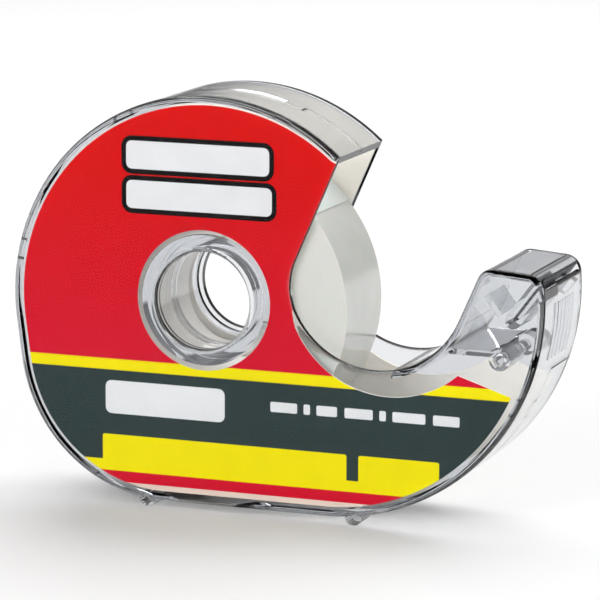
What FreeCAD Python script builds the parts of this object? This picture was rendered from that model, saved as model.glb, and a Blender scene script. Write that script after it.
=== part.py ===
"""Hand-held tape dispenser: two clear shells that snap together round a roll of tape.

Everything is drawn about the hub axis (along Y, through X = Z = 0) with the front face at Y = 0,
then moved so that the origin is under the middle of the dispenser, at the level of its feet.
Millimetres, +X towards the cutter, +Y from the front shell to the rear shell, +Z up.
"""
import FreeCAD, Part
import math
import os

V = FreeCAD.Vector
ALONG_Y = V(0, 1, 0)

# Roll of tape
tape_width = 18.0
core_bore = 12.7             # radius: a 25.4 mm core
core_wall = 1.3
core_overhang = 0.2          # core past the tape, each side
roll_radius = 26.0
roll_hang_gap = 0.05         # left between hub and core where the roll hangs
roll_gap = 0.02              # between the core and the tape wound on it
tab_thickness = 0.15
tab_start = 41.0             # free end of the tape, degrees above level
tab_length = 14.0            # along the roll

# Body
wall = 1.3                   # plates and rims
edge_round = 1.0             # outer edge of each plate
card_thickness = 0.35
card_gap = 0.05              # between a card and its plate
roll_play = 0.9              # core to the card, each side
hub_height = 36.7            # hub axis above the flat bottom
body_radius = 37.0           # round top of the body
body_x = 0.7                 # its centre from the hub axis
body_z = -0.8
back_lean = 7.5              # straight back below the round top, degrees from upright
heel_radius = 27.5           # from the back to the flat bottom
front_reach = 22.8           # hub axis to the centre of the rounded front end
front_radius = 39.6          # rounded front end, from the flat bottom up to the cutter head
seam = 0.2                   # gap along the line where the shells meet

# Mouth, where the tape comes off the roll
mouth_x = 32.0               # lowest point of the mouth
mouth_z = -10.1
mouth_radius = 16.4          # rounded floor of the mouth
throat_radius = 11.0         # tighter curve under the lip
lip_lean = 23.7              # lip and arm lean from upright, degrees
lip_bite = 2.05              # how far the straight lip cuts into the floor's circle
arm_offset = 2.6             # from the mouth's lowest point to where its full-width wall starts

# Cutter head
head_top = 9.3               # height of the platform above the hub axis, at its inner end
head_slope = 4.5             # platform slopes down towards the cutter, degrees
head_round = 3.0             # corners of the head
rib = 1.0                    # thickness of the ribs inside the head
brace_drop = 4.7             # upper end of the sloping brace behind the blade, below head_top
brace_inset = 10.5           # in from the front end
brace_length = 4.3
brace_depth = 9.0            # along Y, from the front plate

# Hub
hub_play = 1.1               # radius of the core's bore less the hub's
hub_wall = 2.2
bore_lip_height = 0.7        # hole in each plate is this much smaller in radius than the bore
bore_lip_depth = 1.9
bore_round = 0.8             # edge of the hole in each plate
spigot_length = 2.8          # rear tube's nose inside the front tube, half the hub's wall thick
spigot_gap = 0.05            # radial

# Label cards
card_margin = 0.4            # between a card and the rim
card_front_margin = 1.4      # the same at the rounded front end
card_hub_gap = 0.9           # between a card's round hole and the hub
card_mouth_shift = 2.4       # card's mouth from the shells' mouth, along X
card_mouth_drop = 4.5
card_mouth_grow = 2.6        # its radii are larger
card_throat_grow = 3.0
card_lip_bite = 1.23
card_peak_angle = -48.5      # where the card's mouth ends in the arm, degrees from level
card_shoulder_slope = 18.0   # card's edge slopes down from there to the front, degrees

# Cutter blade
tip_drop = 1.2               # tips of the teeth below head_top
tip_stand_out = 0.35         # and past the front end
blade_lean = 53.5            # blade's rise from level, degrees
blade_height = 9.6
blade_thickness = 0.4
blade_overhang = 0.2         # blade's length less the tape's width
blade_seat = 0.2             # front plate to the blade's front end
blade_bare = 1.9             # teeth and edge that stand out of the head, along the blade
tooth_pitch = 1.0
tooth_depth = 0.7
slot_gap = 0.06              # blade to its slot, each side
slot_opening = 0.35          # blade to the head's walls, each side
pocket_wall = 1.2
pocket_depth = 8.0           # along Y, from the front plate
pocket_below_tip = 2.2       # along the blade
stop_gap = 0.2               # rear end of the blade to the stop on the rear shell
stop_wall = 0.8              # stop past each side of the blade
stop_from = 4.0              # ends of the stop, from the tips along the blade
stop_to = 7.1

# Latch: a peg on the rear shell in a socket on the front shell
latch_drop = 15.9            # below head_top
latch_inset = 6.85           # in from the front end
peg_radius = 1.1
peg_gap = 0.08
socket_wall = 0.7
socket_length = 8.0
peg_tip_gap = 0.6
collar_radius = 1.9          # thick root of the peg
collar_length = 6.0
collar_gap = 0.15            # collar to the shelf inside the head
latch_seam_drop = 3.0        # rear shell's rim ends this far below the latch

# Rim tongues that lock the two rims together
tongue_depth = 1.8
tongue_width = 3.2
tongue_gap = 0.12
body_tongues = (70.0, 120.0, 170.0)      # round the top of the body, degrees
heel_tongue = 235.0                      # round the heel
front_tongue = -30.0                     # round the front end

# Feet
foot_radius = 1.5
foot_length = 5.2
foot_drop = 1.0              # below the flat bottom
foot_flat = 0.12             # depth of the flat that the foot rests on
rear_foot_outset = 2.6       # behind the rear end of the flat bottom
front_foot_outset = 5.6      # ahead of its front end

# Grip ribs outside the head
grip_count = 6
grip_pitch = 2.05
grip_height = 0.25
grip_width = 0.5
grip_rise = 2.6              # lower ends above the bottom of the head
grip_drop = 6.4              # upper ends below head_top

width = tape_width + 2 * (core_overhang + roll_play + card_thickness + card_gap + wall)
hub_radius = core_bore - hub_play
bore_radius = hub_radius - hub_wall
bore_lip = bore_radius - bore_lip_height
spigot_radius = hub_radius - hub_wall / 2
blade_length = tape_width + blade_overhang
blade_inset = wall + blade_seat
arm_start = mouth_x + arm_offset
latch_z = head_top - latch_drop
head_bottom = latch_z - latch_seam_drop
bottom_z = -hub_height
front_centre_z = front_radius - hub_height
roll_z = hub_radius + roll_hang_gap - core_bore
half = width / 2
reach = body_radius + front_reach + front_radius     # past everything, for cutting shapes
past = 1.0                                           # how far a cut starts outside what it cuts
hair = 0.01                                          # for picking edges that lie in one place


def point(x, z):
    return V(x, 0, z)


def polar(centre, radius, degrees):
    angle = math.radians(degrees)
    return centre + V(radius * math.cos(angle), 0, radius * math.sin(angle))


def line(start, end):
    return Part.LineSegment(start, end).toShape()


def arc(centre, radius, start, end):
    """Arc in a plane of constant Y, from one angle to another in degrees."""
    ends = [polar(centre, radius, a) for a in (start, (start + end) / 2, end)]
    return Part.Arc(*ends).toShape()


def face(edges):
    return Part.Face(Part.Wire(edges))


def extrude(flat, y_low, y_high):
    solid = flat.extrude(V(0, y_high - y_low, 0))
    solid.translate(V(0, y_low, 0))
    return solid


def box(x_low, x_high, y_low, y_high, z_low, z_high):
    return Part.makeBox(x_high - x_low, y_high - y_low, z_high - z_low, V(x_low, y_low, z_low))


def rod(radius, y_low, y_high, x=0.0, z=0.0):
    return Part.makeCylinder(radius, y_high - y_low, V(x, y_low, z), ALONG_Y)


def tube(outer, inner, y_low, y_high, x=0.0, z=0.0):
    return rod(outer, y_low, y_high, x, z).cut(rod(inner, y_low, y_high, x, z))


def angle_of(p, centre):
    return math.degrees(math.atan2(p.z - centre.z, p.x - centre.x))


def circle_exit(start, direction, centre, radius):
    """Where a ray from inside a circle leaves it."""
    offset = start - centre
    along = offset.dot(direction)
    return start + direction * (math.sqrt(along ** 2 - offset.dot(offset) + radius ** 2) - along)


def front_end(z):
    """X of the rounded front end at a height."""
    return front_reach + math.sqrt(front_radius ** 2 - (z - front_centre_z) ** 2)


def blade_tip():
    z = head_top - tip_drop
    return point(front_end(z) + tip_stand_out, z)


def latch_x():
    return front_end(latch_z) - latch_inset


def body_centre():
    return point(body_x, body_z)


def front_centre():
    return point(front_reach, front_centre_z)


def back_edges(start, inset):
    """Round top from its start, straight back, heel and flat bottom, a distance in from outside."""
    top_radius, low_radius = body_radius - inset, heel_radius - inset
    lean = math.radians(back_lean)
    back_top = polar(body_centre(), top_radius, 180 + back_lean)
    inward = V(math.cos(lean), 0, math.sin(lean))
    down = V(math.sin(lean), 0, -math.cos(lean))
    level = back_top.z + low_radius * inward.z - (bottom_z + heel_radius)
    back_bottom = back_top + down * (level / math.cos(lean))
    heel_centre = back_bottom + inward * low_radius
    return [
        arc(body_centre(), top_radius, angle_of(start, body_centre()), 180 + back_lean),
        line(back_top, back_bottom),
        arc(heel_centre, low_radius, 180 + back_lean, 270),
        line(heel_centre - V(0, 0, low_radius), front_centre() - V(0, 0, front_radius - inset)),
    ], heel_centre


def mouth_edges(floor_x, floor_z, floor_radius, throat, bite, inset):
    """Lip line, throat arc and floor arc, tangent to each other, and where each one ends.

    The floor arc's lowest point is given. The throat arc lies inside the floor circle and touches
    both it and the straight lip. The lip leans by lip_lean, cuts a bite off the floor circle and
    ends on the round top of the body, less the inset.
    """
    up = V(math.sin(math.radians(lip_lean)), 0, math.cos(math.radians(lip_lean)))
    outward = V(-up.z, 0, up.x)
    floor_centre = point(floor_x, floor_z + floor_radius)
    spread = floor_radius - throat
    turn = 180 - lip_lean + math.degrees(math.acos(1 - bite / spread))
    throat_centre = polar(floor_centre, spread, turn)
    lip_bottom = throat_centre + outward * throat
    lip_top = circle_exit(lip_bottom, up, body_centre(), body_radius - inset)
    return {
        "lip": line(lip_bottom, lip_top),
        "lip_top": lip_top,
        "throat": arc(throat_centre, throat, 180 - lip_lean, turn),
        "floor_centre": floor_centre,
        "turn": turn,
    }


def body_outline():
    """Outside of the shells, seen from the front."""
    mouth = mouth_edges(mouth_x, mouth_z, mouth_radius, throat_radius, lip_bite, 0)
    lean = math.radians(lip_lean)
    arm_up = V(math.sin(lean), 0, math.cos(lean))
    arm_bottom = polar(mouth["floor_centre"], mouth_radius, 360 - lip_lean)
    arm_top = arm_bottom + arm_up * ((head_top - arm_bottom.z) / arm_up.z)
    slope = math.radians(head_slope)
    along_platform = V(math.cos(slope), 0, -math.sin(slope))
    platform_end = circle_exit(arm_top, along_platform, front_centre(), front_radius)
    edges = back_edges(mouth["lip_top"], 0)[0] + [
        arc(front_centre(), front_radius, -90, angle_of(platform_end, front_centre())),
        line(platform_end, arm_top),
        line(arm_top, arm_bottom),
        arc(mouth["floor_centre"], mouth_radius, 360 - lip_lean, mouth["turn"]),
        mouth["throat"],
        mouth["lip"],
    ]
    return face(edges), (platform_end, arm_top)


def round_head(solid, corners):
    """Round the two long edges of the head."""
    picked = []
    for edge in solid.Edges:
        middle = edge.CenterOfMass
        if any(math.hypot(middle.x - c.x, middle.z - c.z) < hair for c in corners):
            picked.append(edge)
    return solid.makeFillet(head_round, picked)


def round_plates(solid):
    """Round the outer edge of the front and rear faces."""
    picked = []
    for edge in solid.Edges:
        if edge.BoundBox.YMax < hair or edge.BoundBox.YMin > width - hair:
            picked.append(edge)
    return solid.makeFillet(edge_round, picked)


def mouth_window():
    """Space between the plates where the mouth has no wall, left of the arm."""
    round_part = rod(body_radius - wall, wall, width - wall, body_x, body_z)
    return round_part.fuse(box(0, arm_start, wall, width - wall, mouth_z - wall - past, head_top))


def solid_body():
    """The shells as one solid block, before it is hollowed."""
    outline, corners = body_outline()
    return round_head(extrude(outline, 0, width), corners)


def inside_of(block, inset, y_low, y_high):
    """Space inside the block, a given distance in from its outline."""
    front = [f for f in block.Faces if f.BoundBox.YMax < hair][0]
    return extrude(front.makeOffset2D(-inset), y_low, y_high)


def hollow_body(block):
    """Both shells in one, hollow, with the mouth open."""
    cavity = inside_of(block, wall, wall, width - wall)
    return round_plates(block).cut(cavity).cut(mouth_window())


def head_zone(y_high, grow):
    """The cutter head and the arm's wall round the mouth, up to the rear plate."""
    head = box(0, reach, 0, y_high, head_bottom - grow, head_top + past)
    arm = box(0, mouth_x + mouth_radius, 0, y_high, mouth_z - wall - past - grow, head_top)
    return head.fuse(arm)


def rear_zone():
    """Everything that belongs to the rear shell: its plate, and its rim outside the head."""
    plate = box(-reach, reach, width - wall, width + past, -reach, reach)
    rim = box(-reach, reach, half + seam / 2, width + past, -reach, reach)
    return plate.fuse(rim.cut(head_zone(width - wall, seam / 2)))


def front_zone():
    """Everything that belongs to the front shell: its rim, and the whole width of the head."""
    rim = box(-reach, reach, -past, half - seam / 2, -reach, reach)
    return rim.fuse(head_zone(width - wall - seam, -seam / 2))


def tongue_blocks(gap):
    """Blocks across the seam: the rear rim keeps what is inside them, the front rim is cut back."""
    blocks = []
    places = [(body_centre(), body_radius, angle) for angle in body_tongues]
    places.append((back_edges(body_centre(), 0)[1], heel_radius, heel_tongue))
    places.append((front_centre(), front_radius, front_tongue))
    for centre, radius, angle in places:
        block = box(radius - wall - past, radius + past, half - tongue_depth - gap, half + seam,
                    -tongue_width / 2 - gap, tongue_width / 2 + gap)
        block.rotate(V(0, 0, 0), ALONG_Y, -angle)
        block.translate(centre)
        blocks.append(block)
    return blocks


def feet(y_low, y_high):
    """Short rods under the rim, flattened where they rest."""
    rest_z = bottom_z - foot_drop
    kept = box(-reach, reach, 0, width, rest_z, bottom_z + wall / 2)
    heel_centre = back_edges(body_centre(), 0)[1]
    places = (heel_centre.x - rear_foot_outset, front_reach + front_foot_outset)
    rods = [rod(foot_radius, y_low, y_high, x, rest_z + foot_radius - foot_flat) for x in places]
    return [piece.common(kept) for piece in rods]


def blade_frame(solid):
    """Turn a solid drawn with the blade lying along +X from its tip into place."""
    solid.rotate(V(0, 0, 0), ALONG_Y, -(180 + blade_lean))
    solid.translate(blade_tip())
    return solid


def blade_block(side_gap, y_low, y_high):
    """Room for the blade: its gap on each side, and open above its teeth."""
    thick = blade_thickness / 2 + side_gap
    return blade_frame(box(-blade_height, blade_height + slot_gap, y_low, y_high, -thick, thick))


def blade_pocket(y_low, y_high):
    """Boss that holds one end of the blade, round at the bottom, before its slot is cut."""
    thick = blade_thickness / 2 + pocket_wall
    flat_part = box(pocket_below_tip, blade_height, y_low, y_high, -thick, thick)
    return blade_frame(flat_part.fuse(rod(thick, y_low, y_high, blade_height, 0)))


def blade_opening():
    """Cut that bares the blade's teeth and outer side, between the head's two cheeks."""
    thick = blade_thickness / 2 + slot_opening
    outward = head_round + wall
    return blade_frame(box(-blade_height, blade_bare, wall, width - wall, -thick, outward))


def grip_ribs():
    """Fine ridges up the outside of the head, for the fingertip."""
    centre = front_centre()
    low, high = front_radius - wall / 2, front_radius + grip_height
    start = math.degrees(math.asin((head_bottom + grip_rise - centre.z) / front_radius))
    stop = math.degrees(math.asin((head_top - grip_drop - centre.z) / front_radius))
    sector = face([
        arc(centre, low, start, stop),
        line(polar(centre, low, stop), polar(centre, high, stop)),
        arc(centre, high, stop, start),
        line(polar(centre, high, start), polar(centre, low, start)),
    ])
    first = half - grip_pitch * (grip_count - 1) / 2
    ribs = []
    for i in range(grip_count):
        y = first + i * grip_pitch
        ribs.append(extrude(sector, y - grip_width / 2, y + grip_width / 2))
    return ribs


def teeth_outline():
    """The blade lying flat: height along +X from the tips of its teeth, length along Y."""
    corners = [V(blade_height, 0, 0)]
    count = int(blade_length / tooth_pitch)
    pitch = blade_length / count
    for i in range(count):
        corners.append(V(tooth_depth, i * pitch, 0))
        corners.append(V(0, (i + 0.5) * pitch, 0))
    corners.append(V(tooth_depth, blade_length, 0))
    corners.append(V(blade_height, blade_length, 0))
    corners.append(corners[0])
    return Part.Face(Part.makePolygon(corners))


def cutter_blade():
    """Toothed strip, drawn flat and turned into its place in the head."""
    blade = teeth_outline().extrude(V(0, 0, blade_thickness))
    blade.translate(V(0, blade_inset, -blade_thickness / 2))
    return blade_frame(blade)


def blade_slot():
    """Space for the blade: close in its pocket, wider past the pocket's end."""
    close = blade_block(slot_gap, wall, width - wall)
    return close.fuse(blade_block(slot_opening, wall + pocket_depth, width - wall))


def blade_stop(block):
    """Block on the rear plate that keeps the blade in its pocket, clear of the head's rim."""
    thick = blade_thickness / 2 + stop_wall
    y_low, y_high = blade_inset + blade_length + stop_gap, width - wall / 2
    stop = blade_frame(box(stop_from, stop_to, y_low, y_high, -thick, thick))
    return stop.common(inside_of(block, wall + seam, y_low, y_high))


def bore(y_low, y_high):
    """Finger hole through the hub, narrower at the faces."""
    wide_part = rod(bore_radius, max(y_low, bore_lip_depth), min(y_high, width - bore_lip_depth))
    return rod(bore_lip, y_low, y_high).fuse(wide_part)


def round_bore(shell, y):
    """Round the edge of the hole in one outer face."""
    picked = []
    for edge in shell.Edges:
        circle = edge.Curve
        if circle.TypeId == "Part::GeomCircle" and abs(circle.Radius - bore_lip) < hair:
            if abs(edge.CenterOfMass.y - y) < hair:
                picked.append(edge)
    return shell.makeFillet(bore_round, picked)


def front_shell(body):
    """Front plate and half rim, half the hub, and the whole cutter head."""
    shell = body.common(front_zone())
    for block in tongue_blocks(tongue_gap):
        shell = shell.cut(block)
    head_end = width - wall - seam
    socket_radius = peg_radius + peg_gap + socket_wall
    shelf_z = latch_z + rib
    arm_inside = mouth_x + math.sqrt((mouth_radius + wall) ** 2 - (mouth_z + mouth_radius - shelf_z) ** 2)
    shelf = box(arm_inside - wall / 2, latch_x() - peg_radius - peg_gap, wall / 2, head_end,
                shelf_z - rib / 2, shelf_z + rib / 2)
    brace_z = head_top - brace_drop
    brace = box(0, brace_length, wall / 2, wall + brace_depth, -rib / 2, rib / 2)
    brace.rotate(V(0, 0, 0), ALONG_Y, blade_lean)
    brace.translate(point(front_end(brace_z) - brace_inset, brace_z))
    pieces = [
        rod(hub_radius, wall / 2, half - seam / 2),
        rod(socket_radius, wall / 2, wall + socket_length, latch_x(), latch_z),
        blade_pocket(wall / 2, wall + pocket_depth),
        shelf,
        brace,
    ]
    shell = shell.fuse(pieces + feet(0, foot_length) + grip_ribs())
    shell = shell.cut(blade_slot().fuse(blade_opening()))
    shell = shell.cut(rod(peg_radius + peg_gap, wall, head_end, latch_x(), latch_z))
    collar_start = width - wall - collar_length - collar_gap
    shell = shell.cut(rod(collar_radius + collar_gap, collar_start, head_end, latch_x(), latch_z))
    shell = shell.cut(rod(spigot_radius + spigot_gap, half - spigot_length - seam, half))
    shell = shell.cut(bore(-past, half))
    return round_bore(shell.removeSplitter(), 0)


def rear_shell(body, block):
    """Rear plate and half rim, half the hub, the peg of the latch and the blade's stop."""
    shell = body.common(rear_zone())
    tongues = [body.common(tongue) for tongue in tongue_blocks(0)]
    peg_end = wall + peg_tip_gap
    peg = rod(peg_radius, peg_end, width - wall / 2, latch_x(), latch_z)
    tip = [e for e in peg.Edges if e.BoundBox.YMax < peg_end + hair]
    pieces = [
        rod(hub_radius, half + seam / 2, width - wall / 2),
        rod(spigot_radius, half - spigot_length, half + seam),
        rod(collar_radius, width - wall - collar_length, width - wall / 2, latch_x(), latch_z),
        peg.makeFillet(peg_radius / 2, tip),
        blade_stop(block),
    ]
    shell = shell.fuse(tongues + pieces + feet(width - foot_length, width))
    shell = shell.cut(bore(half - spigot_length - past, width + past))
    return round_bore(shell.removeSplitter(), width)


def label_card(y_low):
    """Printed card that lies against one plate."""
    inset = wall + card_margin
    front_inset = wall + card_front_margin
    mouth_floor = mouth_radius + card_mouth_grow
    mouth = mouth_edges(mouth_x + card_mouth_shift, mouth_z - card_mouth_drop, mouth_floor,
                        throat_radius + card_throat_grow, card_lip_bite, inset)
    peak = polar(mouth["floor_centre"], mouth_floor, card_peak_angle)
    slope = math.radians(card_shoulder_slope)
    along_shoulder = V(math.cos(slope), 0, -math.sin(slope))
    low_centre = front_centre() + V(0, 0, inset - front_inset)
    low_radius = front_radius - front_inset
    corner = circle_exit(peak, along_shoulder, low_centre, low_radius)
    outline = face(back_edges(mouth["lip_top"], inset)[0] + [
        arc(low_centre, low_radius, -90, angle_of(corner, low_centre)),
        line(corner, peak),
        arc(mouth["floor_centre"], mouth_floor, card_peak_angle, mouth["turn"] - 360),
        mouth["throat"],
        mouth["lip"],
    ])
    card = extrude(outline, y_low, y_low + card_thickness)
    return card.cut(rod(hub_radius + card_hub_gap, 0, width))


def tape_core():
    """Paper tube that the tape is wound on. It hangs on the top of the hub."""
    reach_y = tape_width / 2 + core_overhang
    return tube(core_bore + core_wall, core_bore, half - reach_y, half + reach_y, 0, roll_z)


def tape_roll():
    core_outside = core_bore + core_wall + roll_gap
    return tube(roll_radius, core_outside, half - tape_width / 2, half + tape_width / 2, 0, roll_z)


def tape_end():
    """Free end of the tape, folded back on itself and stuck down on the roll."""
    low = roll_radius + roll_gap
    high = low + tab_thickness
    centre = point(0, roll_z)
    stop = tab_start + math.degrees(tab_length / roll_radius)
    band = face([
        arc(centre, low, tab_start, stop),
        line(polar(centre, low, stop), polar(centre, high, stop)),
        arc(centre, high, stop, tab_start),
        line(polar(centre, high, tab_start), polar(centre, low, tab_start)),
    ])
    return extrude(band, half - tape_width / 2, half + tape_width / 2)


def main():
    os.makedirs("parts", exist_ok=True)
    block = solid_body()
    body = hollow_body(block)
    nodes = {
        "front_shell": front_shell(body),
        "rear_shell": rear_shell(body, block),
        "front_label_card": label_card(wall + card_gap),
        "rear_label_card": label_card(width - wall - card_gap - card_thickness),
        "tape_core": tape_core(),
        "tape_roll": tape_roll(),
        "tape_end": tape_end(),
        "cutter_blade": cutter_blade(),
    }
    middle_x = (front_reach + front_radius + grip_height + body_x - body_radius) / 2
    to_origin = V(-middle_x, -half, foot_drop - bottom_z)
    for name, shape in nodes.items():
        shape.translate(to_origin)
        shape.exportStep("parts/" + name + ".step")
        print(name, shape.ShapeType, len(shape.Solids), shape.isValid(), round(shape.Volume, 1))


main()
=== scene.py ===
"""A small refillable tape dispenser: a roll of tape and two printed cards in clear shells."""
import math

import bpy
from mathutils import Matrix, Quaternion, Vector


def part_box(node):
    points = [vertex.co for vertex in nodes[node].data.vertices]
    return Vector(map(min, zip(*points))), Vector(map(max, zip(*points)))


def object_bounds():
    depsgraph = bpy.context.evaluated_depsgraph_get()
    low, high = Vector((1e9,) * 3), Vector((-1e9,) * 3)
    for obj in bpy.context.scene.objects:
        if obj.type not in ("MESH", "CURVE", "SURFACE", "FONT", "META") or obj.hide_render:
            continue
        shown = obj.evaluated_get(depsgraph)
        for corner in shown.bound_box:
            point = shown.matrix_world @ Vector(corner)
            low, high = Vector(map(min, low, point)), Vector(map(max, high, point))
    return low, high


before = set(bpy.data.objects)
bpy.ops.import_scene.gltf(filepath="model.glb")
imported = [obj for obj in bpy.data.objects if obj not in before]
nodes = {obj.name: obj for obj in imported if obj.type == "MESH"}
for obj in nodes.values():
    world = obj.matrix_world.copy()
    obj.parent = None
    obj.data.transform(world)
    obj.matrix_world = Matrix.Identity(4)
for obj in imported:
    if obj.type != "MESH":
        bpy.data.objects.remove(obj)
cad_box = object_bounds()


# ---- The dispenser's place and the camera --------------------------------------------------
# The roll hangs a little below the hub that it turns on, so the hub axis is found from the roll.
# The camera looks a little down on the front face, from the cutter's side.
roll_low, roll_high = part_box("tape_roll")
roll_hang = 0.00105
roll_axis = (roll_low + roll_high) / 2
hub = Vector((roll_axis.x, 0.0, roll_axis.z + roll_hang))
front_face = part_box("front_shell")[0].y

view_yaw, view_rise, view_roll = math.radians(20.65), math.radians(10.72), math.radians(0.2)
view_distance = 0.638
lens_length, sensor_width = 218.8, 36.0
aim_right, aim_up = 0.0172, 0.0003
towards_camera = Vector((
    math.sin(view_yaw) * math.cos(view_rise),
    -math.cos(view_yaw) * math.cos(view_rise),
    math.sin(view_rise),
))
screen_right = Vector((math.cos(view_yaw), math.sin(view_yaw), 0.0))
screen_up = towards_camera.cross(screen_right)
aim = Vector((hub.x, front_face, hub.z)) + screen_right * aim_right + screen_up * aim_up

camera_data = bpy.data.cameras.new("camera")
camera_data.lens = lens_length
camera_data.sensor_width = sensor_width
camera = bpy.data.objects.new("camera", camera_data)
camera.location = aim + towards_camera * view_distance
camera.rotation_mode = "QUATERNION"
upright = (-towards_camera).to_track_quat("-Z", "Y")
camera.rotation_quaternion = Quaternion(towards_camera, view_roll) @ upright
bpy.context.scene.collection.objects.link(camera)
bpy.context.scene.camera = camera


# ---- Front shell ---------------------------------------------------------------------------
# Injection-moulded clear polystyrene. The plate, half the rim, half the hub and the whole cutter
# head are one moulding, glossy, with faint flow waves and the fine scratches of handling.
def add(tree, kind, *feeds, **settings):
    """One shader node. Feeds go to its sockets in order, and None leaves a socket as it is."""
    node = tree.nodes.new(kind)
    for name, value in settings.items():
        setattr(node, name, value)
    for socket, value in zip(node.inputs, feeds):
        if isinstance(value, bpy.types.NodeSocket):
            tree.links.new(value, socket)
        elif value is not None:
            socket.default_value = value
    return node


def ramp(tree, value, low, high, start=0.0, end=1.0):
    """Value runs from start to end as it goes from low to high, and stays there beyond them."""
    return add(tree, "ShaderNodeMapRange", value, low, high, start, end).outputs[0]


def object_point(tree, stretch=(1.0, 1.0, 1.0)):
    """The place on the piece, in metres, times a stretch."""
    place = add(tree, "ShaderNodeTexCoord").outputs["Object"]
    return add(tree, "ShaderNodeMapping", place, None, None, stretch).outputs[0]


def grain(tree, scale, detail=2.0, stretch=(1.0, 1.0, 1.0)):
    """Noise with its features about 1/scale metres across."""
    place = object_point(tree, stretch)
    return add(tree, "ShaderNodeTexNoise", place, None, scale, detail).outputs["Fac"]


def relief(tree, height, depth, strength=1.0):
    """A normal from a height of 0 to 1, over a depth in metres."""
    node = tree.nodes.new("ShaderNodeBump")
    node.inputs["Strength"].default_value = strength
    node.inputs["Distance"].default_value = depth
    tree.links.new(height, node.inputs["Height"])
    return node.outputs[0]


def finish(name, ior=1.5):
    """A new material, its node tree, its Principled shader and its output."""
    material = bpy.data.materials.new(name)
    material.use_nodes = True
    tree = material.node_tree
    shader = tree.nodes["Principled BSDF"]
    shader.inputs["IOR"].default_value = ior
    return material, tree, shader, tree.nodes["Material Output"]


def feed(tree, shader, **sockets):
    """Values or links for the shader's sockets, named with underscores for spaces."""
    for name, value in sockets.items():
        socket = shader.inputs[name.replace("_", " ")]
        if isinstance(value, bpy.types.NodeSocket):
            tree.links.new(value, socket)
        else:
            socket.default_value = value


def clear_polystyrene(name):
    """Glossy plastic, greyed a little at each face and more where it is thick."""
    material, tree, shader, output = finish(name, ior=1.59)
    face_tint, gloss_tint = (0.81, 0.82, 0.835, 1.0), (0.06, 0.06, 0.06, 1.0)
    shadow_tint = (0.96, 0.96, 0.965, 1.0)
    depth_tint, depth_density = (0.53, 0.55, 0.59, 1.0), 16.0
    polished, scuffed = 0.012, 0.09
    flow_depth = 0.00004
    scratches = grain(tree, scale=420, detail=5.0, stretch=(1.0, 1.0, 7.0))
    scuffs = ramp(tree, scratches, 0.60, 0.72, polished, scuffed)
    flow = relief(tree, grain(tree, scale=90, detail=1.0), flow_depth)
    feed(tree, shader, Base_Color=face_tint, Roughness=scuffs,
         Transmission_Weight=1.0, Specular_Tint=gloss_tint, Normal=flow)
    lets_light_in = add(tree, "ShaderNodeBsdfTransparent", shadow_tint).outputs[0]
    shadow_ray = add(tree, "ShaderNodeLightPath").outputs["Is Shadow Ray"]
    mixed = add(tree, "ShaderNodeMixShader", shadow_ray, shader.outputs[0], lets_light_in)
    tree.links.new(mixed.outputs[0], output.inputs["Surface"])
    darker_inside = add(tree, "ShaderNodeVolumeAbsorption", depth_tint, depth_density)
    tree.links.new(darker_inside.outputs[0], output.inputs["Volume"])
    return material


def paint(node, material):
    """The material as the node's only one."""
    nodes[node].data.materials.clear()
    nodes[node].data.materials.append(material)


clear_plastic = clear_polystyrene("clear_polystyrene")
paint("front_shell", clear_plastic)


# ---- Front label card ----------------------------------------------------------------------
# Printed board, smooth in front and bare behind, cut to the shape of the plate and lying against
# it. Where the real card carries words, this one has plain blocks.
red, deep_red = (0.70, 0.0, 0.0, 1.0), (0.68, 0.004, 0.025, 1.0)
yellow, charcoal = (0.95, 0.82, 0.0, 1.0), (0.030, 0.048, 0.047, 1.0)
white, black = (0.84, 0.84, 0.83, 1.0), (0.003, 0.003, 0.003, 1.0)
bottom_band = (0.84, 0.67, 0.56, 1.0)
bare_board, pale_fibre = (0.85, 0.82, 0.75, 1.0), (0.93, 0.90, 0.84, 1.0)
plain_red_from = 0.022
upper_stripe = (-0.0137, -0.0117)
lower_stripe = (-0.0320, -0.0300)
print_bottom = -0.03405
sharpness = 0.00006
ink_ends, ink_full = 0.00003, 0.00002
low_rows_middle = 0.010
# A row: high or low on the card, ink, outline, bottom, top and corner, then each block's sides.
printed_rows = (
    ("high", white, 0.0009, 0.0226, 0.0276, 0.0011, ((-0.0146, 0.0123),)),
    ("high", white, 0.0009, 0.0156, 0.0206, 0.0011, ((-0.0146, 0.0128),)),
    ("low", white, 0.0, -0.0216, -0.0156, 0.0012, ((-0.0188, 0.0040),)),
    ("low", white, 0.0, -0.0189, -0.0171, 0.0003, (
        (0.0126, 0.0176), (0.0188, 0.0200), (0.0212, 0.0250), (0.0264, 0.0316),
        (0.0328, 0.0340), (0.0352, 0.0412), (0.0426, 0.0474))),
    ("low", yellow, 0.0, lower_stripe[0], -0.0254, 0.0004, (
        (-0.0194, 0.0268), (0.0290, 0.0438))),
)


def reckon(tree, operation, *feeds):
    """The result of one Math node."""
    return add(tree, "ShaderNodeMath", *feeds, operation=operation).outputs[0]


def from_axis(tree, axis):
    """Distances across and up from an axis that runs along Y, and the place along it."""
    place = add(tree, "ShaderNodeSeparateXYZ", object_point(tree)).outputs
    across = reckon(tree, "SUBTRACT", place[0], axis.x)
    up = reckon(tree, "SUBTRACT", place[2], axis.z)
    return across, up, place[1]


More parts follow.
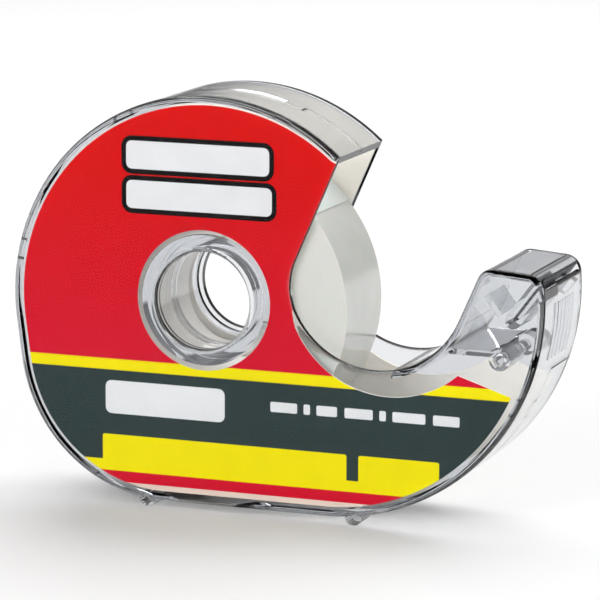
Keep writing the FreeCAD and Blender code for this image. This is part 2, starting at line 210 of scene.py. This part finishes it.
def block(tree, across, up, centre, half_size, corner):
    """Distance outside a rounded rectangle, in metres, less than zero inside it."""
    sides = []
    for value, middle, half in ((across, centre[0], half_size[0]), (up, centre[1], half_size[1])):
        offset = reckon(tree, "ABSOLUTE", reckon(tree, "SUBTRACT", value, middle))
        sides.append(reckon(tree, "SUBTRACT", offset, reckon(tree, "SUBTRACT", half, corner)))
    outside = [reckon(tree, "MAXIMUM", side, 0.0) for side in sides]
    squares = [reckon(tree, "MULTIPLY", side, side) for side in outside]
    round_part = reckon(tree, "SQRT", reckon(tree, "ADD", *squares))
    flat_part = reckon(tree, "MINIMUM", reckon(tree, "MAXIMUM", *sides), 0.0)
    return reckon(tree, "SUBTRACT", reckon(tree, "ADD", round_part, flat_part), corner)


def inside(tree, distance, grow=0.0):
    """1 where a distance is less than grow, with a short soft edge."""
    return ramp(tree, distance, grow + sharpness / 2, grow - sharpness / 2)


def over(tree, below, colour, amount):
    """A colour printed over another."""
    node = tree.nodes.new("ShaderNodeMix")
    node.data_type = "RGBA"
    for socket, value in (("Factor_Float", amount), ("A_Color", below), ("B_Color", colour)):
        socket = next(s for s in node.inputs if s.identifier == socket)
        if isinstance(value, bpy.types.NodeSocket):
            tree.links.new(value, socket)
        else:
            socket.default_value = value
    return next(s for s in node.outputs if s.identifier == "Result_Color")


def printed_card(name, node, reading):
    """The card's material. Reading is 1 where its print reads along +X, and -1 along -X."""
    material, tree, shader, _ = finish(name)
    low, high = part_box(node)
    across, up, along = from_axis(tree, hub)
    low_across = reckon(tree, "SUBTRACT", across, low_rows_middle)
    low_across = reckon(tree, "MULTIPLY", low_across, reading)
    low_across = reckon(tree, "ADD", low_across, low_rows_middle)
    rows_across = {"low": low_across, "high": reckon(tree, "MULTIPLY", across, reading)}

    ink = over(tree, deep_red, red, ramp(tree, up, upper_stripe[1], plain_red_from))
    dark_band = (lower_stripe[1], upper_stripe[0])
    for (bottom, top), ink_colour in (
            (upper_stripe, yellow), (lower_stripe, yellow), (dark_band, charcoal)):
        band = block(tree, 0.0, up, (0.0, (top + bottom) / 2), (1.0, (top - bottom) / 2), 0.0)
        ink = over(tree, ink, ink_colour, inside(tree, band))

    for row, ink_colour, outline, bottom, top, corner, bars in printed_rows:
        for left, right in bars:
            bar = block(tree, rows_across[row], up, ((left + right) / 2, (bottom + top) / 2),
                        ((right - left) / 2, (top - bottom) / 2), corner)
            if outline:
                ink = over(tree, ink, black, inside(tree, bar, outline))
            ink = over(tree, ink, ink_colour, inside(tree, bar))
    ink = over(tree, bottom_band, ink, ramp(tree, up, print_bottom, print_bottom + sharpness))

    depth = along if reading > 0 else reckon(tree, "MULTIPLY", along, -1.0)
    face = low.y if reading > 0 else -high.y
    printed = ramp(tree, depth, face + ink_ends, face + ink_full)
    fibres = grain(tree, scale=2600, detail=4.0)
    fibre_height = 0.00001
    mottle = ramp(tree, grain(tree, scale=240, detail=3.0), 0.3, 0.7, 0.98, 1.02)
    board = over(tree, bare_board, pale_fibre, fibres)
    board = add(tree, "ShaderNodeVectorMath", board, mottle, operation="MULTIPLY").outputs[0]
    ink = add(tree, "ShaderNodeVectorMath", ink, mottle, operation="MULTIPLY").outputs[0]
    bare_roughness, printed_roughness = 0.85, 0.5
    roughness = ramp(tree, printed, 0.0, 1.0, bare_roughness, printed_roughness)
    feed(tree, shader, Base_Color=over(tree, board, ink, printed), Roughness=roughness,
         Specular_IOR_Level=0.06, Normal=relief(tree, fibres, fibre_height, strength=0.6))
    return material


paint("front_label_card", printed_card("front_card_print", "front_label_card", 1.0))


# ---- Cutter blade --------------------------------------------------------------------------
# A strip of thin steel, punched with a row of teeth and pushed into its pocket in the head.
# It is brushed along its length. Its colour is painted dark all over as a painted dark reflection
# of its surroundings, and random patches are darker still.
def stamped_steel():
    material, tree, shader, _ = finish("stamped_steel")
    # Both steel colours are painted dark, a painted dark reflection; the noise only spreads random
    # darker patches.
    painted_dark_reflection_patch, painted_dark_reflection = (0.09, 0.095, 0.105, 1.0), (0.20, 0.20, 0.21, 1.0)
    brush_depth = 0.000006
    brushed = grain(tree, scale=1800, detail=3.0, stretch=(1.0, 0.02, 1.0))
    colour = over(tree, painted_dark_reflection_patch, painted_dark_reflection, grain(tree, scale=260, detail=3.0))
    feed(tree, shader, Base_Color=colour, Metallic=1.0,
         Roughness=ramp(tree, brushed, 0.3, 0.7, 0.16, 0.34),
         Normal=relief(tree, brushed, brush_depth, strength=0.5))
    return material


paint("cutter_blade", stamped_steel())


# ---- Tape core -----------------------------------------------------------------------------
# A tube of pale board wound in a spiral and glued, which shows as a slanting seam. It hangs on
# the hub.
def wound_board():
    material, tree, shader, _ = finish("wound_board")
    board_colours = (0.78, 0.75, 0.68, 1.0), (0.90, 0.87, 0.80, 1.0)
    glue = (0.45, 0.40, 0.33, 1.0)
    seam_lead, seam_share, seam_depth = 0.045, 0.012, 0.00008
    across, up, along = from_axis(tree, roll_axis)
    turn = reckon(tree, "DIVIDE", reckon(tree, "ARCTAN2", up, across), 2 * math.pi)
    leads = reckon(tree, "DIVIDE", along, seam_lead)
    wound = reckon(tree, "FRACT", reckon(tree, "ADD", leads, turn))
    seam = ramp(tree, wound, 0.0, seam_share)
    board = over(tree, *board_colours, grain(tree, scale=2200, detail=4.0))
    colour = over(tree, glue, board, seam)
    feed(tree, shader, Base_Color=colour, Roughness=0.85, Normal=relief(tree, seam, seam_depth))
    return material


paint("tape_core", wound_board())


# ---- Tape roll and its free end ------------------------------------------------------------
# Some two hundred and sixty turns of clear film. They show as fine rings at the sides, and the
# outside is smooth and glossy, with cloudy patches where the turns don't quite stick. The free end
# is folded back on itself and stuck down, so it is a little paler.
def wound_film(name, pale, dark):
    """Film with fine rings at the sides and cloudy patches on the outside."""
    material, tree, shader, _ = finish(name, ior=1.47)
    roll_radius = roll_high.x - roll_axis.x
    sides_end, outside_start = roll_radius - 0.0001, roll_radius - 0.00005
    ring_scale, ring_detail = 5200.0, 3.0
    cloud_depth = 0.00003
    sides_roughness, outside_roughness = 0.55, 0.22
    across, up, _ = from_axis(tree, roll_axis)
    squares = [reckon(tree, "MULTIPLY", value, value) for value in (across, up)]
    radius = reckon(tree, "SQRT", reckon(tree, "ADD", *squares))
    turns = add(tree, "ShaderNodeTexNoise", None, radius, ring_scale, ring_detail,
                noise_dimensions="1D")
    outside = ramp(tree, radius, sides_end, outside_start)
    cloud = ramp(tree, grain(tree, scale=130, detail=4.0), 0.35, 0.7, 0.5, 1.0)
    texture = over(tree, turns.outputs[0], cloud, outside)
    roughness = ramp(tree, outside, 0.0, 1.0, sides_roughness, outside_roughness)
    feed(tree, shader, Base_Color=over(tree, dark, pale, texture), Roughness=roughness,
         Coat_Weight=0.5, Coat_Roughness=0.1, Subsurface_Weight=0.3, Subsurface_Scale=0.001,
         Normal=relief(tree, texture, cloud_depth, strength=0.5))
    return material


clear_film = {"pale": (0.68, 0.69, 0.645, 1.0), "dark": (0.56, 0.57, 0.53, 1.0)}
doubled_film = {"pale": (0.76, 0.77, 0.74, 1.0), "dark": (0.66, 0.67, 0.64, 1.0)}
paint("tape_roll", wound_film("wound_film", **clear_film))
paint("tape_end", wound_film("folded_film", **doubled_film))


# ---- Rear label card and rear shell --------------------------------------------------------
# The same board, printed to read from behind, and the other half of the moulding with the latch
# peg. Through the mouth only the card's bare side shows.
paint("rear_label_card", printed_card("rear_card_print", "rear_label_card", -1.0))
paint("rear_shell", clear_plastic)


# ---- Floor and light -----------------------------------------------------------------------
# A plain pale floor just under the feet, a wide soft light above, a smaller one on each side, and
# a pale room that is a little darker low down.
half_floor, floor_gap = 6.0, 0.00003
floor_colours = (0.86, 0.86, 0.86, 1.0), (0.89, 0.89, 0.89, 1.0)
corners = [(-1, -1), (1, -1), (1, 1), (-1, 1)]
floor_data = bpy.data.meshes.new("floor")
floor_data.from_pydata(
    [(x * half_floor, y * half_floor, 0.0) for x, y in corners], [], [(0, 1, 2, 3)])
floor = bpy.data.objects.new("floor", floor_data)
floor.location.z = cad_box[0].z - floor_gap
bpy.context.scene.collection.objects.link(floor)
floor_paint, tree, shader, _ = finish("pale_floor")
feed(tree, shader, Base_Color=over(tree, *floor_colours, grain(tree, scale=4.0)), Roughness=0.6)
floor_data.materials.append(floor_paint)


def soft_light(name, place, size, power):
    """A rectangular light at a place measured from the aim, and facing it."""
    data = bpy.data.lights.new(name, "AREA")
    data.shape = "RECTANGLE"
    data.size, data.size_y = size
    data.energy = power
    light = bpy.data.objects.new(name, data)
    light.location = aim + Vector(place)
    light.rotation_mode = "QUATERNION"
    light.rotation_quaternion = (-Vector(place)).to_track_quat("-Z", "Y")
    bpy.context.scene.collection.objects.link(light)


soft_light("light_above", (0.0, 0.7, 1.0), (1.6, 1.0), 14.0)
soft_light("light_left", (-0.6, -1.0, 0.4), (0.7, 0.35), 6.0)
soft_light("light_right", (0.75, -0.8, 0.3), (0.3, 0.8), 3.5)

low_tone, high_tone, room_brightness = (0.48, 0.48, 0.49, 1.0), (0.95, 0.95, 0.95, 1.0), 0.5
room = bpy.data.worlds.new("room")
room.use_nodes = True
tree = room.node_tree
direction = add(tree, "ShaderNodeTexCoord").outputs["Generated"]
height = add(tree, "ShaderNodeSeparateXYZ", direction).outputs[2]
tone = over(tree, low_tone, high_tone, ramp(tree, height, 0.0, 0.7))
feed(tree, tree.nodes["Background"], Color=tone, Strength=room_brightness)
bpy.context.scene.world = room
bpy.context.scene.view_settings.view_transform = "Standard"
